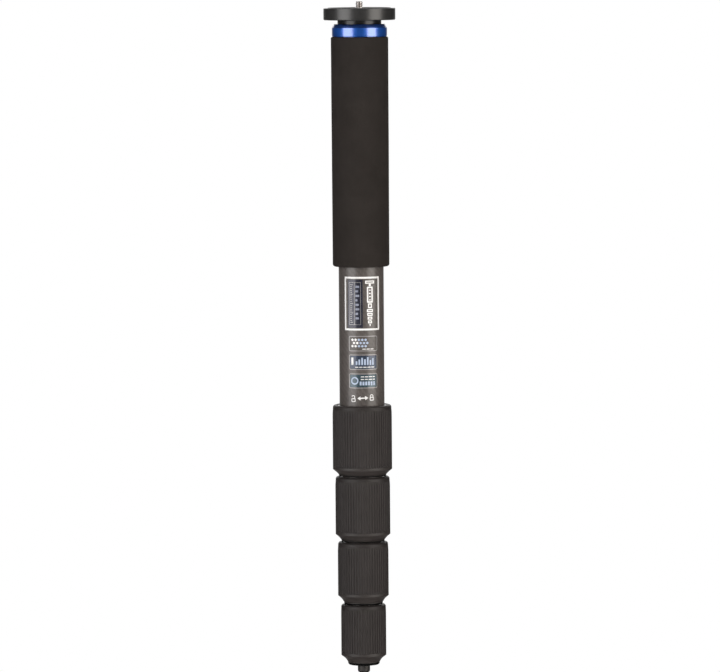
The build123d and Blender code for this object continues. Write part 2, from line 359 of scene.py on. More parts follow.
def anodised(name, dark, light, low, high, rings=5200.0, depth=0.008, shaded_bevel=None, **more):
    """Turned and dyed aluminium: fine tool rings under a satin skin. Painted
    shade can darken the part above one height, fading out down to a lower one."""
    p = Paint(name, **more)
    ring = p.turning(rings)
    patch = p.noise(120.0, 3.0, 0.5)
    mix = p.math("ADD", p.math("MULTIPLY", ring, 0.35), p.math("MULTIPLY", patch, 0.65))
    stops = [(0.30, dark), (0.70, light)]
    if shaded_bevel:
        foot, full, bevel_shade = shaded_bevel
        # painted shade: darker above the height full, fading out down to the height foot
        mix = p.math("SUBTRACT", mix, p.between(p.xyz()[2], foot * MM, full * MM, 0.0, 0.45))
        stops.insert(0, (0.0, bevel_shade))
    p.colour(mix, *stops)
    p.roughness(ring, low, high)
    p.normal(p.bump(ring, 0.5, depth))
    return p.mat


plate_black = anodised("anodised_black", grey(0.0235), grey(0.033, 0.02), 0.25, 0.37,
                       Metallic=0.15, Specular_IOR_Level=0.80)
hub_black = anodised("anodised_hub", grey(0.022), grey(0.032, 0.02), 0.22, 0.32,
                     Metallic=0.2, Specular_IOR_Level=0.6)
# the blue ring's top chamfer, under the plate, is darkened with painted shade
ring_blue = anodised("anodised_blue", (0.0010, 0.098, 0.520), (0.0030, 0.142, 0.700), 0.34, 0.44,
                     rings=4200.0, depth=0.005, shaded_bevel=(-16.3, -15.5, (0.0005, 0.038, 0.215)), Metallic=0.68, Coat_Weight=1.0,
                     Coat_Roughness=0.20, Coat_IOR=2.38)


def steel_paint(name, groove_shade, crest, low, high, inner, outer, rings=5000.0, metal=1.0):
    """Cut steel painted darker in the thread's roots, as painted shade."""
    p = Paint(name, Metallic=metal)
    x, y, z, around, out = p.xyz()
    ring = p.turning(rings)
    dirt = p.noise(900.0, 3.0, 0.6)
    # painted shade: darker towards the inner radius, for the screws the thread's roots
    level = p.between(out, inner * MM, outer * MM)
    mix = p.math("ADD", p.math("MULTIPLY", level, 0.8), p.math("MULTIPLY", dirt, 0.25))
    p.colour(mix, (0.18, groove_shade), (0.85, crest))
    p.roughness(ring, low, high)
    p.normal(p.bump(ring, 0.3, 0.006))
    return p.mat


screw_steel = steel_paint("steel_screw", (0.42, 0.38, 0.36), (0.95, 0.92, 0.90), 0.16, 0.26, 2.42, 3.0, metal=0.85)
spike_steel = steel_paint("steel_spindle", (0.022, 0.021, 0.020), (0.080, 0.075, 0.072), 0.50, 0.62, 3.4, 3.95, metal=0.75)
bolt_steel = steel_paint("steel_bolts", (0.03, 0.03, 0.03), (0.12, 0.12, 0.12), 0.28, 0.40, 9.0, 15.0)


def ferrule_paint(name, colour_low, colour_high, base, pitch, metal=1.0):
    """Machined thread, cut as a helix in the surface height, with painted shade darkening its roots."""
    p = Paint(name, Metallic=metal)
    x, y, z, around, out = p.xyz()
    turn = p.math("FRACT", p.math("SUBTRACT", p.math("MULTIPLY", z, 1 / (pitch * MM)),
                                  p.math("MULTIPLY", around, 1 / (2 * pi))))
    tooth = p.math("PINGPONG", turn, 0.5)
    outside = p.math("GREATER_THAN", out, base * MM)
    height = p.math("MULTIPLY", p.math("MULTIPLY", tooth, 2.0), outside)
    ring = p.turning(4200.0)
    # painted shade: the thread's roots are darker and its crests lighter
    mix = p.math("ADD", p.math("MULTIPLY", height, 0.45), p.math("MULTIPLY", ring, 0.5))
    p.colour(mix, (0.20, colour_low), (0.75, colour_high))
    p.roughness(ring, 0.24, 0.38)
    p.normal(p.bump(height, 0.9, 0.55, p.bump(ring, 0.3, 0.006)))
    return p.mat


brass = ferrule_paint("brass_bush", (0.42, 0.27, 0.09), (0.72, 0.52, 0.22), 3.0, 1.25)


def carbon_paint(name, radius, tows):
    """Woven carbon tube under clear lacquer: a two-over-two twill of narrow
    tows with fibres along each tow. The tows lying one way and the crowns
    of all tows are lighter: painted sheen."""
    p = Paint(name, Specular_IOR_Level=0.45, Coat_Weight=0.55, Coat_Roughness=0.22, Coat_IOR=1.5)
    x, y, z, around, out = p.xyz()
    tows_per_m = tows / (2 * pi * radius * MM)
    u = p.math("MULTIPLY", around, tows / (2 * pi))
    v = p.math("MULTIPLY", z, tows_per_m)
    fu, fv = p.math("FRACT", u), p.math("FRACT", v)
    cell = p.math("ADD", p.math("FLOOR", u), p.math("FLOOR", v))
    over = p.math("LESS_THAN", p.math("FLOORED_MODULO", cell, 4.0), 1.5)
    under = p.math("SUBTRACT", 1.0, over)
    hu = p.math("SINE", p.math("MULTIPLY", fu, pi))
    hv = p.math("SINE", p.math("MULTIPLY", fv, pi))
    height = p.math("ADD", p.math("MULTIPLY", hu, over), p.math("MULTIPLY", hv, under))
    along = p.noise(1.0, 2.0, 0.6, p.vector(p.math("MULTIPLY", u, 9.0), p.math("MULTIPLY", v, 0.6), 0.0))
    cross = p.noise(1.0, 2.0, 0.6, p.vector(p.math("MULTIPLY", u, 0.6), p.math("MULTIPLY", v, 9.0), 5.0))
    fibre = p.math("ADD", p.math("MULTIPLY", along, over), p.math("MULTIPLY", cross, under))
    patch = p.noise(240.0, 3.0, 0.6)
    # painted sheen: tows lying one way are lighter, and each tow is lighter along its crown
    mix = p.math("ADD", p.math("MULTIPLY", over, 0.10), p.math("MULTIPLY", height, 0.22))
    mix = p.math("ADD", mix, p.math("MULTIPLY", fibre, 0.38))
    mix = p.math("ADD", mix, p.math("MULTIPLY", patch, 0.36))
    p.colour(mix, (0.30, (0.052, 0.044, 0.041)), (0.80, (0.120, 0.105, 0.096)))
    p.roughness(fibre, 0.40, 0.52)
    p.normal(p.bump(height, 0.35, 0.05, p.bump(fibre, 0.25, 0.02)))
    return p.mat


carbon = [carbon_paint(f"carbon_{i + 1}", TUBE_OD[i] / 2, n) for i, n in enumerate((96, 84, 76, 68, 56))]


def print_paint(name, low, high, rough, **more):
    """Screen printing or foil on the tube: slightly uneven ink."""
    p = Paint(name, **more)
    ink = p.noise(1400.0, 3.0, 0.6)
    patch = p.noise(110.0, 2.0, 0.5)
    p.colour(p.math("ADD", p.math("MULTIPLY", ink, 0.4), p.math("MULTIPLY", patch, 0.6)),
             (0.32, low), (0.68, high))
    p.roughness(ink, rough, rough + 0.1)
    p.normal(p.bump(ink, 0.2, 0.01))
    return p.mat


ink_white = print_paint("ink_white", (0.80, 0.79, 0.78), (0.92, 0.91, 0.90), 0.40)
foil_silver = print_paint("foil_silver", (0.30, 0.29, 0.29), (0.43, 0.42, 0.42), 0.30, Metallic=0.3)
foil_navy = print_paint("foil_navy", (0.022, 0.023, 0.036), (0.038, 0.040, 0.062), 0.24,
                        Metallic=0.35, Coat_Weight=0.6, Coat_Roughness=0.12)
foil_blue = print_paint("foil_blue", (0.026, 0.038, 0.066), (0.048, 0.066, 0.108), 0.24,
                        Metallic=0.35, Coat_Weight=0.6, Coat_Roughness=0.12)
foil_teal = print_paint("foil_teal", (0.034, 0.062, 0.080), (0.056, 0.092, 0.112), 0.24,
                        Metallic=0.35, Coat_Weight=0.6, Coat_Roughness=0.12)
ink_pale = print_paint("ink_pale_blue", (0.34, 0.41, 0.55), (0.48, 0.56, 0.70), 0.35)
ink_grey = print_paint("ink_grey_blue", (0.20, 0.22, 0.29), (0.30, 0.32, 0.40), 0.35)

# ======================================================== carried-over CAD nodes
node_paint = {
    "camera_plate": plate_black, "plate_screws": bolt_steel, "top_hub": hub_black,
    "end_plug": hub_black, "foot_insert": brass,
}
for i in range(5):
    node_paint[f"tube_{i + 1}"] = carbon[i]
    if i:
        node_paint[f"guide_shims_{i + 1}"] = white_plastic
for i in range(4):
    base = TUBE_OD[i] / 2
    node_paint[f"ferrule_{i + 1}"] = ferrule_paint(f"threaded_metal_{i + 1}", grey(0.05), grey(0.16), base + 1.0, 2.0)
    node_paint[f"collet_{i + 1}"] = white_plastic
for name, mat in node_paint.items():
    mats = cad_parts[name].data.materials
    mats.clear()
    mats.append(mat)

# ================================================================== camera screw
HEX = pi / 3


def hexagon(flats, angle):
    """Radius of a hexagon of that width across flats at an angle."""
    return flats / 2 / cos((angle % HEX) - HEX / 2)


def screw_shape(r, z, a, j):
    kind = screw_kinds[j]
    if kind == "upper":            # 20 turns to the inch
        turn = thread(z / 1.27 - a / (2 * pi), 3.175, 2.42)
        fade = smooth((z + 0.1) / 0.7)
        depth = (3.175 - turn) * fade
        return min(3.175 - depth, 3.175 - max(0.0, z - 4.35) * 0.95), z
    if kind == "lower":            # 16 turns to the inch
        turn = thread(z / 1.5875 - a / (2 * pi), 4.7625, 3.80)
        fade = smooth((-z - 0.45) / 0.5)
        return min(4.7625 - (4.7625 - turn) * fade, 4.7625 - max(0.0, -14.0 - z) * 0.9), z
    if kind == "hex":
        return hexagon(2.5, a) + (r - 1.25), z
    if kind == "hex4":
        return hexagon(4.0, a) + (r - 2.0), z
    return r, z


screw_profile, screw_kinds = [], []


def add(r, z, kind=""):
    screw_profile.append((r, z))
    screw_kinds.append(kind)


add(0.0, -11.5)
add(2.0, -11.5, "hex4")
add(2.0, -14.8, "hex4")
add(2.25, -15.0, "hex4")
add(3.7, -15.0)
for z in span(-14.95, -0.55, 0.1):
    add(4.7625, z, "lower")
add(4.7625, -0.45)
add(4.6, -0.3)
add(3.3, -0.3)
for z in span(-0.25, 4.95, 0.04):
    add(3.175, z, "upper")
add(2.45, 5.0)
add(1.45, 5.0, "hex")
add(1.25, 4.85, "hex")
add(1.25, 2.0, "hex")
add(0.0, 1.8)
screw = turned("camera_screw", screw_profile, 72, screw_shape, closed=False, sharp=26.0)
place(screw, "upper_body", screw_steel, "steel", "reversible_stud")

# ==================================================================== camera pad
# moulded rubber ring with concentric ridges
pad_top = [(7.5, -0.5, 0.2)]
r = 8.3
while r < 24.4:
    pad_top += [(r, -0.42), (r + 0.25, 0.0, 0.12), (r + 1.1, 0.0, 0.12), (r + 1.35, -0.42)]
    r += 1.75
pad_top.append((25.5, -0.42, 0.2))
pad_profile = arc_profile(pad_top + [(25.5, -1.2), (7.5, -1.2)], 3)
pad = turned("camera_pad_ridged", pad_profile, 144, sharp=50.0)
place(pad, "upper_body", pad_rubber, "pad_rubber", "camera_pad")

# ===================================================================== blue ring
ring_profile = arc_profile([
    (18.05, -13.0), (20.1, -13.0, 0.3), (21.05, -13.95, 0.5), (22.0, -15.9, 0.25), (22.0, -22.35, 0.12),
    (21.7, -22.6, 0.1), (21.7, -23.0, 0.1), (18.05, -23.0)], 6)
ring = turned("ring_blue", ring_profile, 192)
place(ring, "upper_body", ring_blue, "blue_metal", "accent_ring")

# ===================================================================== foam grip
# A sleeve slipped on the tube, its ends rounded over and its face not quite even.
foam_side = []
for z in span(-204.0, -25.8, 5.4):
    foam_side.append((22.75 + (z + 206.6) / 183.4 * 0.25, z))
foam_profile = [(18.05, -206.6)]
for k in range(9):                         # lower end rounding
    t = -pi / 2 + pi / 2 * k / 8
    foam_profile.append((22.75 - 1.9 + 1.9 * cos(t), -206.6 + 1.9 + 1.9 * sin(t)))
foam_profile += foam_side
for k in range(9):                         # upper end rounding
    t = pi / 2 * k / 8
    foam_profile.append((23.0 - 1.2 + 1.2 * cos(t), -23.2 - 1.2 + 1.2 * sin(t)))
foam_profile.append((18.05, -23.2))


def foam_shape(r, z, a, j):
    if r < 18.2:
        return r, z
    n = noise.noise(Vector((cos(a) * 0.9, sin(a) * 0.9, z * 0.022)))
    m = noise.noise(Vector((cos(a) * 3.1 + 7.0, sin(a) * 3.1, z * 0.09)))
    return r - 0.075 + 0.055 * n + 0.018 * m, z


grip = turned("foam_grip", foam_profile, 144, foam_shape, sharp=60.0)
place(grip, "upper_body", foam.mat, "foam", "grip_sleeve")

# =================================================================== twist locks
for i in range(4):
    R, r = TUBE_OD[i] / 2, TUBE_OD[i + 1] / 2
    zt, zb, ch, ch2 = LOCK_TOP[i], LOCK_BOT[i], LOCK_CH[i], LOCK_CH2[i]
    out, out2, nose = LOCK_R[i], LOCK_R2[i], NOSE_R[i]
    body = f"lock_{i + 1}"

    # nut: flange, coved chamfer and a thin rim at the nose
    cove = []
    for k in range(1, 10):
        t = k / 10
        rr = out + (out2 - out) * t
        zz = ch + (ch2 - ch) * t
        sag = (0.22, 0.42, 0.5, 0.62)[i] * sin(pi * t) * (0.55 + 0.45 * t)
        dx, dz = out2 - out, ch2 - ch
        length = hypot(dx, dz)
        cove.append((rr + dz / length * sag, zz - dx / length * sag))
    nut = [(R + 3.7, zt - 1.6), (R + 3.7, ch + 2.2), (out - 0.05, ch + 2.2, 0.08),
           (out, ch + 2.1), (out, ch, 0.3)] + cove + [
           (out2, ch2, 0.08), (nose, ch2 - 0.3), (nose, NUT_BOT[i], 0.05), (SEAL_R[i], NUT_BOT[i]),
           (SEAL_R[i], zb + 5.2), (r + 0.3, zb + 5.2), (r + 0.3, zb + 5.9), (R + 1.7, zb + 5.9),
           (R + 1.7, zb + 8.6), (R + 0.9, zb + 8.6), (R + 0.9, zb + 10.0), (R + 2.1, zb + 10.0),
           (R + 2.1, zt - 1.6)]
    obj = turned(f"lock_nut_{i + 1}_coved", arc_profile(nut, 3), 144, sharp=32.0)
    place(obj, body, nut_plastic, "lock_nut", f"lock_nut_{i + 1}")

    # wiper: neck pressed into the nose, thin lip on the tube, soft round end below the nut
    edge, low, (wide, high) = nose - 0.1, SEAL_BOT[i], SEAL_ROUND[i]
    seal = [(edge, NUT_BOT[i] - 0.05, 0.04)]
    for k in range(9):
        t = pi / 2 * k / 8
        seal.append((edge - wide * (1 - cos(t)), low + high * (1 - sin(t))))
    seal += [(r + 0.3, low, 0.1), (r + 0.3, zb + 3.4), (r + 0.06, zb + 3.7), (r + 0.06, zb + 4.5),
             (r + 0.5, zb + 5.15), (SEAL_R[i] - 0.05, zb + 5.15), (SEAL_R[i] - 0.05, NUT_BOT[i] - 0.05)]
    obj = turned(f"wiper_seal_{i + 1}_lipped", arc_profile(seal, 3), 128, sharp=32.0)
    place(obj, body, seal_rubber, "seal_rubber", f"wiper_seal_{i + 1}")

    # rubber sleeve: fine ribs from just under its plain top band to the flange
    base = ch + 2.25
    side = [(out, z) for z in (base + 0.02, base + 0.25, base + 0.5, base + 1.0)]
    taper = (0.40, 0.42, 0.38, 0.16)[i]
    side += [(out, z) for z in span(base + 2.0, zt - 8.5, 6.0)]
    for z in span(zt - 7.5, zt - 2.0, 0.5):
        side.append((out - taper * smooth((z - zt + 8.0) / 8.0), z))
    top = []
    for k in range(8):
        t = pi / 2 * (k + 1) / 8
        top.append((out - taper - 1.9 + 1.9 * cos(t), zt - 1.7 + 1.7 * sin(t)))
    profile = [(R + 3.75, base)] + side + top + [
        (R + 2.9, zt - 0.02), (R + 2.35, zt - 0.1), (R + 2.2, zt - 0.3),
        (R + 2.2, zt - 1.55), (R + 3.75, zt - 1.55)]
    ribs = RIBS[i]
    angles = []
    for k in range(ribs):
        for t in (0.0, 0.09, 0.17, 0.5, 0.83, 0.91):
            angles.append(2 * pi * (k + t) / ribs)

    def rib_shape(rr, z, a, j, ribs=ribs, out=out, zt=zt, base=base, R=R):
        if rr < R + 3.8 and rr < out - 1.6:
            return rr, z
        t = a * ribs / (2 * pi)
        t = abs(t - round(t))
        cut = 1.0 if t < 0.01 else 0.62 if t < 0.12 else 0.12 if t < 0.25 else 0.0
        fade = smooth((zt - 2.6 - z) / 1.8)
        return rr - 0.36 * cut * fade, z

    obj = turned(f"lock_rubber_{i + 1}_ribbed", profile, angles, rib_shape, sharp=60.0)
    place(obj, body, lock_rubber, "lock_rubber", f"lock_grip_{i + 1}")

# ================================================================== foot spindle
spindle, spindle_kinds = [], []


def add_spindle(r, z, kind=""):
    spindle.append((r, z))
    spindle_kinds.append(kind)


add_spindle(0.0, -559.5)
add_spindle(0.3, -559.42)
add_spindle(0.6, -559.2)
for z in span(-558.9, -554.3, 0.5):
    add_spindle(4.0 + 3.4 * (z + 554.0) / 5.5, z)
for z in span(-554.0, -535.3, 0.104):
    add_spindle(4.0, z, "thread")
for rr, z in ((3.6, -534.9), (3.4, -534.6), (3.4, -533.75), (3.55, -533.6), (4.0, -533.6), (4.35, -533.35),
              (4.68, -532.9), (4.84, -532.3), (4.9, -531.8), (4.9, -528.5), (4.84, -527.7), (4.6, -527.05),
              (4.2, -526.7), (4.0, -526.7)):
    add_spindle(rr, z)
for z in span(-526.5, -507.2, 0.125):
    add_spindle(4.0, z, "thread_in")
add_spindle(3.2, -506.3)
add_spindle(0.0, -506.3)


def spindle_shape(r, z, a, j):
    kind = spindle_kinds[j]
    if kind == "thread":
        turn = thread(z / 1.25 - a / (2 * pi), 4.0, 3.39)
        fade = smooth((-535.2 - z) / 0.9) * smooth((z + 554.0) / 0.8)
        return 4.0 - (4.0 - turn) * fade, z
    if kind == "thread_in":
        turn = thread(z / 1.25 - a / (2 * pi), 4.0, 3.39)
        fade = smooth((-526.9 - z) / 1.0)
        tip = max(0.0, z + 507.7) * 0.9
        return min(4.0 - (4.0 - turn) * fade, 4.0 - tip), z
    return r, z


spike = turned("foot_spindle", spindle, 64, spindle_shape, closed=False, sharp=48.0)
place(spike, "section_5", spike_steel, "dark_steel", "spike_stud")

# =================================================================== rubber foot
# fluted barrel for the fingers, flared skirt, sole with radial treads
foot_profile = arc_profile([
    (4.6, -543.5), (7.6, -543.5, 0.4), (9.2, -545.1, 0.5), (9.4, -551.5, 1.2),
    (11.5, -560.4, 0.4), (11.5, -561.8, 0.4), (10.3, -563.0, 0.2)], 4)[1:]
foot_profile = [(4.6, -543.5)] + foot_profile
outer = []
for a, b in zip(foot_profile, foot_profile[1:]):
    outer.append(a)
    n = int(hypot(b[0] - a[0], b[1] - a[1]) / 0.8)
    for k in range(1, n + 1):
        outer.append((a[0] + (b[0] - a[0]) * k / (n + 1), a[1] + (b[1] - a[1]) * k / (n + 1)))
outer.append(foot_profile[-1])
outer += [(10.0, -563.0), (9.6, -563.0), (8.6, -563.0), (7.4, -563.0), (6.4, -563.0), (6.1, -563.0),
          (5.2, -563.0), (4.6, -562.5), (4.6, -553.05), (7.25, -553.05), (7.25, -551.35), (5.85, -551.35),
          (5.85, -544.55), (4.6, -544.55)]
FLUTES = 20
foot_angles = [2 * pi * k / (FLUTES * 8) for k in range(FLUTES * 8)]


def foot_shape(r, z, a, j):
    t = a * FLUTES / (2 * pi)
    wave = 0.5 - 0.5 * cos(2 * pi * t)
    if z < -562.9 and 6.0 < r < 10.1:                     # tread slots in the sole
        slot = smooth((wave - 0.55) / 0.25)
        edge = smooth((r - 6.0) / 0.4) * smooth((10.1 - r) / 0.4)
        return r, z + 0.7 * slot * edge
    if r > 8.0 and -553.5 < z < -544.2:                   # finger flutes
        fade = smooth((-544.4 - z) / 1.4) * smooth((z + 553.4) / 1.8)
        return r - 0.42 * wave * fade, z
    return r, z


foot = turned("rubber_foot_fluted", outer, foot_angles, foot_shape, sharp=55.0)
place(foot, "foot", foot_rubber, "lock_rubber", "rubber_foot")


# ================================================================ printed marks
# Flat shapes in millimetres round the tube (s, positive to the right seen
# from the front) and height z, wrapped on the main tube as thin films.
TUBE_R = 18.0


def rect(s0, z0, s1, z1):
    return [[(s0, z0), (s1, z0), (s1, z1), (s0, z1)]]


def round_points(s0, z0, s1, z1, rad, steps=5):
    s0, s1, z0, z1 = min(s0, s1), max(s0, s1), min(z0, z1), max(z0, z1)
    pts = []
    for cx, cz, start in ((s1 - rad, z1 - rad, 0.0), (s0 + rad, z1 - rad, 0.5 * pi),
                          (s0 + rad, z0 + rad, pi), (s1 - rad, z0 + rad, 1.5 * pi)):
        for k in range(steps + 1):
            t = start + 0.5 * pi * k / steps
            pts.append((cx + rad * cos(t), cz + rad * sin(t)))
    return pts


def blob(s0, z0, s1, z1, rad=0.3):
    return [round_points(s0, z0, s1, z1, rad)]


def loop(s0, z0, s1, z1, rad, wide):
    """A rounded rectangular line."""
    s0, s1, z0, z1 = min(s0, s1), max(s0, s1), min(z0, z1), max(z0, z1)
    a = round_points(s0, z0, s1, z1, rad)
    b = round_points(s0 + wide, z0 + wide, s1 - wide, z1 - wide, max(0.02, rad - wide))
    n = len(a)
    return [[a[i], a[(i + 1) % n], b[(i + 1) % n], b[i]] for i in range(n)]


def stroke(points, wide, closed=False):
    """A line of one width along the points, with mitred corners."""
    n = len(points)
    sides = []
    for i, p in enumerate(points):
        a = points[i - 1] if (i or closed) else None
        b = points[(i + 1) % n] if (i < n - 1 or closed) else None
        d = []
        for q, w in ((a, -1), (b, 1)):
            if q is not None:
                dx, dz = (q[0] - p[0]) * w, (q[1] - p[1]) * w
                m = hypot(dx, dz)
                d.append((dx / m, dz / m))
        tx, tz = sum(v[0] for v in d), sum(v[1] for v in d)
        m = hypot(tx, tz)
        tx, tz = tx / m, tz / m
        scale = 1 / max(0.4, tx * d[0][0] + tz * d[0][1])
        off = wide / 2 * scale
        sides.append(((p[0] - tz * off, p[1] + tx * off), (p[0] + tz * off, p[1] - tx * off)))
    count = n if closed else n - 1
    return [[sides[i][1], sides[(i + 1) % n][1], sides[(i + 1) % n][0], sides[i][0]] for i in range(count)]


def disc(cs, cz, rad, steps=20):
    return [[(cs + rad * cos(2 * pi * k / steps), cz + rad * sin(2 * pi * k / steps)) for k in range(steps)]]


def annulus(cs, cz, rad, wide, steps=20):
    return stroke([(cs + (rad - wide / 2) * cos(2 * pi * k / steps), cz + (rad - wide / 2) * sin(2 * pi * k / steps))
                   for k in range(steps)], wide, closed=True)


def turn(shapes, centre, degrees):
    c, s = cos(radians(degrees)), sin(radians(degrees))
    return [[(centre[0] + (p[0] - centre[0]) * c - (p[1] - centre[1]) * s,
              centre[1] + (p[0] - centre[0]) * s + (p[1] - centre[1]) * c) for p in poly] for poly in shapes]


def film(name, shapes, mat, low, high, slot="carbon"):
    """Wraps flat polygons on the main tube between two heights over it."""
    bm = bmesh.new()
    for poly in shapes:
        verts = [bm.verts.new((p[0], p[1], 0.0)) for p in poly]
        area = sum(a[0] * b[1] - b[0] * a[1] for a, b in zip(poly, poly[1:] + poly[:1]))
        bm.faces.new(verts if area > 0 else verts[::-1])
    bmesh.ops.remove_doubles(bm, verts=bm.verts[:], dist=1e-4)
    lo = min(v.co.x for v in bm.verts)
    hi = max(v.co.x for v in bm.verts)
    s = floor(lo / 0.6) * 0.6
    while s < hi:
        s += 0.6
        if lo + 0.01 < s < hi - 0.01:
            bmesh.ops.bisect_plane(bm, geom=bm.verts[:] + bm.edges[:] + bm.faces[:], dist=1e-4,
                                   plane_co=(s, 0, 0), plane_no=(1, 0, 0))
    bm.verts.index_update()
    count = len(bm.verts)
    verts = []
    for over in (high, low):
        for v in bm.verts:
            a = v.co.x / TUBE_R
            rr = TUBE_R + over
            verts.append((rr * sin(a) * MM, -rr * cos(a) * MM, v.co.y * MM))
    faces = []
    for f in bm.faces:
        ring = [v.index for v in f.verts]
        faces.append(ring)
        faces.append([q + count for q in reversed(ring)])
    for e in bm.edges:
        if len(e.link_faces) == 1:
            l = e.link_loops[0]
            a, b = l.vert.index, l.link_loop_next.vert.index
            faces.append([b, a, a + count, b + count])
    bm.free()
    mesh = bpy.data.meshes.new(name)
    mesh.from_pydata(verts, [], faces)
    mesh.validate()
    for p in mesh.polygons:
        p.use_smooth = True
    mesh.set_sharp_from_angle(angle=radians(40))
    obj = bpy.data.objects.new(name, mesh)
    bpy.context.scene.collection.objects.link(obj)
    return place(obj, "upper_body", mat, slot)


# large frame with a dark panel of plain scale marks, and a pictogram of the
# closed monopod beside it
film("print_frame", loop(-14.8, -257.0, 15.95, -214.1, 0.5, 1.5), ink_white, 0.004, 0.030)
film("print_panel", blob(-11.5, -255.0, 1.0, -216.3, 0.3), foil_navy, 0.004, 0.016)
marks = loop(-10.3, -252.5, -0.5, -218.4, 0.4, 0.30)
marks += rect(-5.75, -252.2, -5.47, -218.7)
for k in range(21):
    long = 2.3 if k % 5 == 0 else 1.4
    z = -220.2 - k * 1.5
    marks += rect(-9.3, z, -9.3 + long, z - 0.5)
film("print_panel_lines", marks, foil_silver, 0.017, 0.030)
bars = []
for k, wide in enumerate((3.1, 2.3, 3.1, 1.7, 2.7, 3.1, 2.1, 2.7)):
    z = -221.2 - k * 3.6
    bars += blob(-4.8, z, -4.8 + wide, z - 1.7, 0.25)
film("print_panel_bars", bars, ink_grey, 0.017, 0.030)

pict = loop(3.1, -219.6, 10.9, -217.2, 0.3, 0.85)
pict += blob(6.1, -219.7, 7.9, -221.7, 0.2)
pict += loop(4.5, -234.9, 9.5, -222.0, 0.7, 1.15)
for k in range(4):
    pict += blob(6.3, -224.4 - k * 2.6, 7.7, -225.3 - k * 2.6, 0.2)
pict += loop(5.3, -239.2, 8.7, -235.4, 0.3, 0.95)
for k, wide in enumerate((5.2, 4.6, 4.0, 3.4)):
    z = -240.0 - k * 3.0
    pict += loop(7.0 - wide / 2, z - 2.4, 7.0 + wide / 2, z, 0.35, 0.85)
pict += [[(6.2, -252.1), (7.8, -252.1), (7.0, -253.9)]]
film("print_pictogram", pict, ink_white, 0.004, 0.030)

# three small badges with plain patterns
badges = [(-261.45, -273.6), (-276.35, -288.45), (-291.5, -303.3)]
lines = []
for top, bottom in badges:
    lines += loop(-10.7, bottom, 13.5, top, 1.3, 0.50)
film("print_badge_lines", lines, foil_silver, 0.004, 0.030)
film("print_badge_blue", blob(-9.9, -287.6, 12.6, -277.2, 0.9), foil_blue, 0.004, 0.016)
film("print_badge_teal", blob(-9.9, -302.4, 12.6, -292.4, 0.9), foil_teal, 0.004, 0.016)

weave_pale, weave_white = [], []
for row in range(3):
    for col in range(5):
        cs, cz = -7.6 + col * 2.7 + (row % 2) * 1.35, -264.5 - row * 2.5
        diamond = [(cs - 1.25, cz), (cs, cz - 1.15), (cs + 1.25, cz), (cs, cz + 1.15)]
        (weave_white if col < 2 else weave_pale).append(diamond)
film("print_weave", weave_pale, ink_pale, 0.004, 0.030)
film("print_weave_white", weave_white, ink_white, 0.004, 0.030)
steps = []
for k, tall in enumerate((3.0, 4.4, 5.8, 4.6, 6.2, 3.8, 5.2)):
    cs = -4.9 + k * 2.25
    steps += blob(cs, -284.6, cs + 1.35, -284.6 + tall, 0.2)
for k in range(6):
    cs = -1.8 + k * 2.25
    steps += blob(cs, -300.9, cs + 1.5, -297.9, 0.2)
film("print_badge_bars", steps, ink_pale, 0.017, 0.030)
white = blob(-8.6, -284.6, -6.9, -278.6, 0.25)
for s0, s1, z in ((0.6, 10.6, -271.6), (-5.4, 10.6, -286.1), (-0.9, 10.9, -293.8), (-0.9, 10.9, -295.9)):
    cs = s0
    while cs < s1 - 1.0:
        white += rect(cs, z, min(cs + 2.6, s1), z - 0.62)
        cs += 3.3
film("print_badge_white", white, ink_white, 0.004, 0.030)
film("print_badge_ring", annulus(-5.9, -297.3, 3.1, 1.0), ink_pale, 0.017, 0.030)

# unlock and lock signs with a double arrow, a little out of level
SIGN_Z = -311.2


def padlock(cs, cz, opened):
    shapes = loop(cs - 1.80, cz - 2.65, cs + 1.80, cz + 0.45, 0.75, 0.78)
    lift = 0.40 if opened else 0.0
    pts = [(cs + 1.18, cz + 0.47)]
    for k in range(9):
        t = pi * k / 8
        pts.append((cs + 1.18 * cos(t), cz + 1.15 + lift + 0.98 * sin(t)))
    if not opened:
        pts.append((cs - 1.18, cz + 0.47))
    return shapes + stroke(pts, 0.64)


signs = padlock(-7.1, SIGN_Z, True) + padlock(8.0, SIGN_Z + 0.1, False)
signs += [[(-3.85, SIGN_Z), (-1.25, SIGN_Z - 1.7), (-1.25, SIGN_Z - 0.5), (2.45, SIGN_Z - 0.5),
           (2.45, SIGN_Z - 1.7), (5.15, SIGN_Z), (2.45, SIGN_Z + 1.7), (2.45, SIGN_Z + 0.5),
           (-1.25, SIGN_Z + 0.5), (-1.25, SIGN_Z + 1.7)]]
film("print_lock_signs", turn(signs, (1.0, SIGN_Z), 3.4), ink_white, 0.004, 0.030)


# =============================================================== stage and light
def plain_emission(name, colour, strength):
    m = bpy.data.materials.new(name)
    m.use_nodes = True
    nt = m.node_tree
    nt.nodes.clear()
    e = nt.nodes.new("ShaderNodeEmission")
    e.inputs["Color"].default_value = (*colour, 1.0)
    e.inputs["Strength"].default_value = strength
    o = nt.nodes.new("ShaderNodeOutputMaterial")
    nt.links.new(e.outputs[0], o.inputs["Surface"])
    return m


# The monopod hangs by its camera screw and its sections slide out to 1.66 m,
# so the white floor lies well below, clear of every pose and of views from
# underneath. Floor and sky only show to the camera: the studio is dark, and
# the soft boxes alone make the reflections.
floor_mesh = bpy.data.meshes.new("stage_floor")
ring_n = 64
floor_mesh.from_pydata(
    [(400 * cos(2 * pi * k / ring_n), 400 * sin(2 * pi * k / ring_n), -20.0) for k in range(ring_n)], [],
    [list(range(ring_n))])
stage_floor = bpy.data.objects.new("stage_floor", floor_mesh)
bpy.context.scene.collection.objects.link(stage_floor)
floor_mesh.materials.append(plain_emission("studio_white", (1.0, 1.0, 1.0), 1.0))
stage_floor.visible_diffuse = False
stage_floor.visible_glossy = False
stage_floor.visible_shadow = False

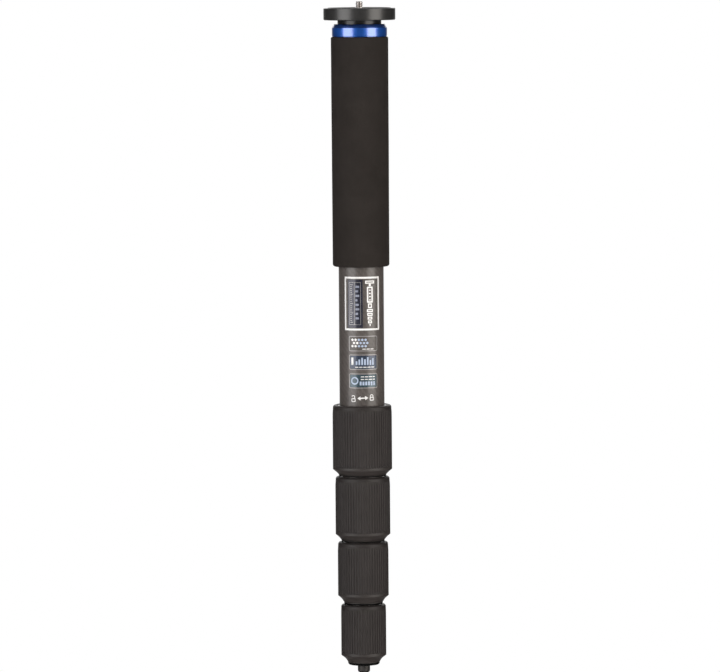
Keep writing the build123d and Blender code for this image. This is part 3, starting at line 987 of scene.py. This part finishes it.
world = bpy.data.worlds.new("studio")
bpy.context.scene.world = world
world.use_nodes = True
nt = world.node_tree
nt.nodes.clear()
dim = nt.nodes.new("ShaderNodeBackground")
dim.inputs["Color"].default_value = (0.93, 0.96, 1.0, 1.0)
dim.inputs["Strength"].default_value = 0.10
sky = nt.nodes.new("ShaderNodeBackground")
sky.inputs["Color"].default_value = (1.0, 1.0, 1.0, 1.0)
sky.inputs["Strength"].default_value = 1.0
black = nt.nodes.new("ShaderNodeBackground")
black.inputs["Color"].default_value = (0.93, 0.96, 1.0, 1.0)
black.inputs["Strength"].default_value = 0.03
path = nt.nodes.new("ShaderNodeLightPath")
mirror = nt.nodes.new("ShaderNodeMixShader")
mixer = nt.nodes.new("ShaderNodeMixShader")
last = nt.nodes.new("ShaderNodeOutputWorld")
nt.links.new(path.outputs["Is Camera Ray"], mixer.inputs[0])
nt.links.new(path.outputs["Is Glossy Ray"], mirror.inputs[0])
nt.links.new(dim.outputs[0], mirror.inputs[1])
nt.links.new(black.outputs[0], mirror.inputs[2])
nt.links.new(mirror.outputs[0], mixer.inputs[1])
nt.links.new(sky.outputs[0], mixer.inputs[2])
nt.links.new(mixer.outputs[0], last.inputs["Surface"])


def softbox(name, azimuth, distance, wide, tall, power, colour, height, tilt=0.0):
    """An upright soft box; azimuth from the front, positive to the right."""
    data = bpy.data.lights.new(name, "AREA")
    data.shape = "RECTANGLE"
    data.size, data.size_y = wide, tall
    data.energy = power
    data.color = colour
    obj = bpy.data.objects.new(name, data)
    bpy.context.scene.collection.objects.link(obj)
    a = radians(azimuth)
    obj.location = (distance * sin(a), -distance * cos(a), height)
    aim = Vector((0.0, 0.0, height - tilt)) - obj.location
    obj.rotation_mode = "QUATERNION"
    obj.rotation_quaternion = aim.to_track_quat("-Z", "Y")
    obj.visible_camera = False
    return obj


softbox("box_left", -50.5, 2.0, 1.58, 2.6, 36.5, (1.0, 0.985, 0.975), 0.30)
softbox("box_right", 53.0, 2.0, 1.50, 2.6, 38.0, (1.0, 0.955, 0.90), 0.30)
for side in (-1, 1):
    softbox(f"box_back_{side}", 163.0 * side, 2.6, 1.1, 4.2, 4.0, (1.0, 0.99, 0.97), -0.70)
    fill = softbox(f"fill_back_{side}", 160.0 * side, 2.6, 1.6, 4.2, 36.0, (1.0, 0.99, 0.97), -0.70)
    fill.visible_glossy = False
# from the camera's side, only for the matt surfaces
front = softbox("fill_front", 0.0, 3.2, 1.6, 3.4, 4.0, (1.0, 0.97, 0.94), -0.60)
front.visible_glossy = False
under = softbox("fill_under", 0.0, 1.6, 1.6, 1.6, 90.0, (1.0, 0.98, 0.96), -3.40, -3.1)
under.visible_glossy = False
# over and behind it, for the faces that look up
softbox("box_over", 180.0, 1.6, 1.6, 1.6, 26.0, (1.0, 1.0, 1.0), 2.6, 2.6)
over = softbox("fill_over", 0.0, 0.5, 1.6, 1.6, 50.0, (1.0, 0.99, 0.98), 3.0, 3.0)
over.visible_glossy = False
# a low backdrop that only faces looking up can mirror, and a narrow strip
# straight behind that draws one line of light down its back
softbox("backdrop", 180.0, 3.0, 3.0, 1.4, 26.0, (1.0, 1.0, 1.0), 0.95)
softbox("strip_back", 180.0, 3.0, 0.45, 4.2, 8.5, (1.0, 0.99, 0.98), -0.80)

# ======================================================================== camera
ELEVATION, DISTANCE = 4.25, 4.6
AIM = Vector((-0.0013, 0.0, -0.2627))
e = radians(ELEVATION)
cam_data = bpy.data.cameras.new("camera")
cam_data.lens = 287.1
cam_data.sensor_width = 36.0
cam_data.clip_start, cam_data.clip_end = 0.1, 1000.0
cam = bpy.data.objects.new("camera", cam_data)
bpy.context.scene.collection.objects.link(cam)
back = Vector((0.0, -cos(e), sin(e)))
cam.location = AIM + back * DISTANCE
cam.rotation_mode = "QUATERNION"
look = (-back).to_track_quat("-Z", "Y")
roll = Matrix.Rotation(radians(-0.41), 4, "Z").to_quaternion()
cam.rotation_quaternion = look @ roll
bpy.context.scene.camera = cam

view = bpy.context.scene.view_settings
view.view_transform = "Standard"
view.look = "None"
view.exposure = 0.0
view.gamma = 1.0

bpy.context.view_layer.update()
